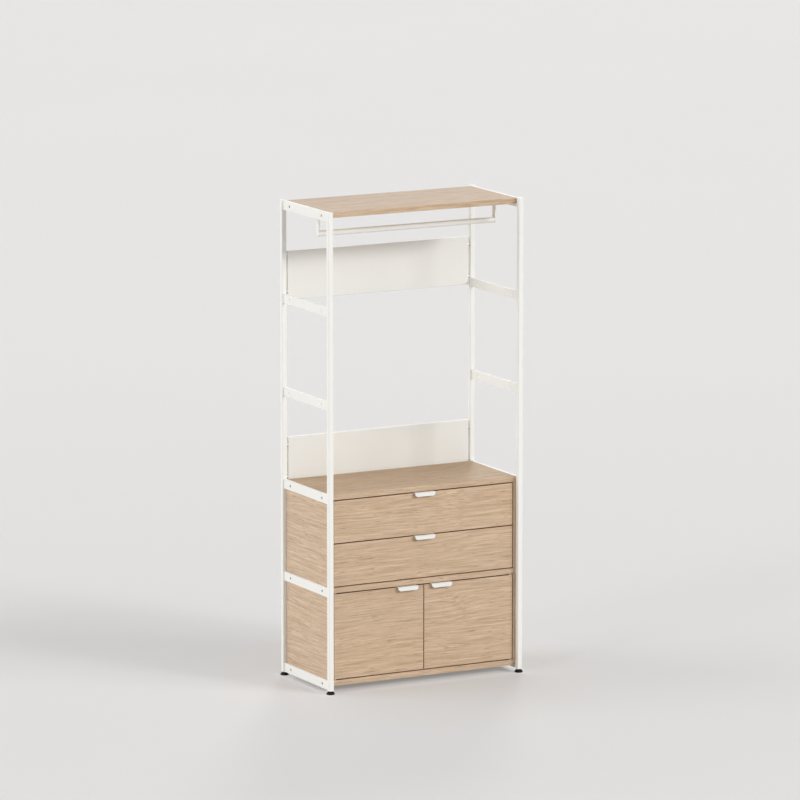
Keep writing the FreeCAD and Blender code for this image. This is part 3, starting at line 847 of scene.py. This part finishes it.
def thicken(piece, thickness, edge):
    """Gives a folded skin its thickness on the side away from its faces, with softly broken edges."""
    piece.modifiers.clear()
    wall = piece.modifiers.new("sheet", "SOLIDIFY")
    wall.thickness = thickness
    wall.offset = -1
    wall.use_even_offset = True
    soft = piece.modifiers.new("broken_edges", "BEVEL")
    soft.width = edge
    soft.segments = 2
    soft.limit_method = "ANGLE"
    soft.angle_limit = radians(55)
    even = piece.modifiers.new("even_normals", "WEIGHTED_NORMAL")
    even.keep_sharp = True


def reach_of(piece):
    """The lowest and highest X, Y and Z of a skin in millimetres, for a look at its place."""
    return [[round(end(v.co[i] for v in piece.data.vertices) / mm, 2) for i in range(3)] for end in (min, max)]


print("folding ready")

# %% [markdown]
# ## Pulls
# Each drawer front and door carries a small bent pull on its top edge. Its flange is screwed down, its nose
# stands in front of the wood, and its lip leans out below with rounded corners, so fingers find it easily.

# %% Pulls
pull_skin, lip_lean, lip_corner, pull_sheet = 2.4 * mm, 4.5 * mm, 12 * mm, 1.5 * mm


def make_pull(node, body):
    """A pull in the place of its node: a flange and a leaning lip, folded from one blank."""
    low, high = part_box(node)
    skin, lean, drop = pull_skin, lip_lean, high.z - low.z
    turn = atan2(drop, lean)
    corner = skin * sin(turn / 2) / cos(turn / 2)
    flange = high.y - (low.y + lean) - corner
    lip = hypot(drop, lean) - corner
    shape = flat_blank(high.x - low.x, flange + skin * turn + lip, lip_corner)
    fold(shape, flange, -turn, skin)
    place = Matrix.Translation(((low.x + high.x) / 2, high.y, high.z)) @ Matrix.Rotation(pi, 4, "Z")
    set_skin(shape, place, high.z)
    piece = finish_piece("bent_" + node, shape, body, shaded_pull_paint, (node,))
    thicken(piece, pull_sheet, 0.25 * mm)
    return piece


pulls = [
    make_pull("drawer_upper_pull", "drawer_upper"),
    make_pull("drawer_lower_pull", "drawer_lower"),
    make_pull("door_left_pull", "door_left"),
    make_pull("door_right_pull", "door_right"),
]
for pull in pulls:
    print(pull.name, reach_of(pull))

# %% [markdown]
# ## Hanging rail and straps
# The rail is a tube welded between two flat straps. A strap is one flat bar with a round lower end, bent
# inwards at the top to make a foot that is screwed under the shelf.

# %% Hanging rail
low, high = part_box("hanging_rail")
reach = (high.x - low.x) / mm
outer = (high.z - low.z) / 2 / mm
inner, weld = outer - 1.5, outer + 1.2
outline = [(inner, 0), (weld, 0), (outer + 0.5, 0.4), (outer, 1.4), (outer, reach - 1.4),
           (outer + 0.5, reach - 0.4), (weld, reach), (inner, reach), (inner, 0)]
rail = bmesh.new()
pour(turned(outline, 48), rail, along((1, 0, 0), (low.x, (low.y + high.y) / 2, (low.z + high.z) / 2)))
piece = finish_piece("welded_hanging_rail", rail, "frame", white_paint, ("hanging_rail",))
print(piece.name, "length", round(reach, 1), "mm")

# %% Straps
bend = 7 * mm
quarter_arc = 1.5672
for side in (-1, 1):
    node = "rail_strap_" + ("left" if side < 0 else "right")
    low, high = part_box(node)
    broad = high.y - low.y
    foot = (high.x - low.x) - bend
    riser = (high.z - low.z) - bend
    shape = flat_blank(broad, foot + bend * quarter_arc + riser, broad / 2 - 0.01 * mm, 16)
    fold(shape, foot, -radians(90), bend)
    turn = Matrix.Rotation(-side * pi / 2, 4, "Z")
    tip = high.x if side < 0 else low.x
    place = Matrix.Translation((tip, (low.y + high.y) / 2, high.z)) @ turn
    set_skin(shape, place, high.z)
    piece = finish_piece("bent_" + node, shape, "frame", white_paint, (node,))
    thicken(piece, 4 * mm, 0.5 * mm)
    print(piece.name, reach_of(piece), [round(v / mm, 2) for v in (*low, *high)])

screws = bmesh.new()
sources = merged_copy("strap_screws")
for group in separate_solids(sources):
    x, y = (sum(v.co[axis] for v in group) / len(group) for axis in (0, 1))
    seat = min(v.co.z for v in group) + strap_head * mm
    pour(strap_screw, screws, along((0, 0, -1), (x, y, seat)))
sources.free()
finish_piece("socket_strap_screws", screws, "frame", steel, ("strap_screws",), crisp=35)

# %% [markdown]
# ## Folded back panels
# The two panels between the back posts are shallow trays of sheet steel, with their edges folded back on
# all four sides and the corners welded and ground. So each is an open box whose front edges are rounded
# with the bend's radius, and the sheet's thickness is added inwards.

# %% Back panels
tray_bend, tray_sheet = 2.2 * mm, 1.5 * mm
for node in ("back_panel_upper", "back_panel_lower"):
    low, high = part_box(node)
    shape = bmesh.new()
    place = Matrix.Translation((low + high) / 2) @ Matrix.Diagonal((*(high - low), 1))
    bmesh.ops.create_cube(shape, size=1, matrix=place)
    behind = [f for f in shape.faces if f.normal.y > 0.9]
    bmesh.ops.delete(shape, geom=behind, context="FACES_ONLY")
    rounded = [e for e in shape.edges if not e.is_boundary]
    ease(shape, rounded, tray_bend, 5)
    piece = finish_piece("folded_" + node, shape, "frame", shaded_panel_paint, (node,), crisp=60)
    thicken(piece, tray_sheet, 0.2 * mm)
    print(piece.name, "faces", len(piece.data.polygons))

# %% [markdown]
# ## Fittings
# Runners, pivot plates, strikes and catches are small pressed or moulded parts. They could be drawn again in
# full detail, but their solids already have the right shape. So runners and catches only get softer edges,
# and the screws, plates and plugs that hide inside other pieces only get a finish.

# %% Fittings
for bay in ("upper", "lower"):
    for member in ("fixed", "middle", "inner"):
        eased("runner_{}_{}".format(member, bay), steel, 0.5 * mm, "Y")
eased("magnet_catches", white_plastic, 0.8 * mm)
plain = {
    "board_end_plates": white_paint, "plate_screws": steel, "pivot_plates": steel, "panel_spacers": steel,
    "foot_inserts": black_plastic, "drawer_upper_fittings": steel, "drawer_lower_fittings": steel,
    "door_left_fittings": steel, "door_right_fittings": steel,
}
for node, finish in plain.items():
    mesh = frame["nodes"][node].data
    mesh.materials.clear()
    mesh.materials.append(finish)
print("plain fittings", len(plain))

# %% Measure and finish
bpy.context.view_layer.update()
dressed_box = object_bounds()
growth = (*(cad_box[0] - dressed_box[0]), *(dressed_box[1] - cad_box[1]))
print("grown by", [round(v / mm, 2) for v in growth], "mm")
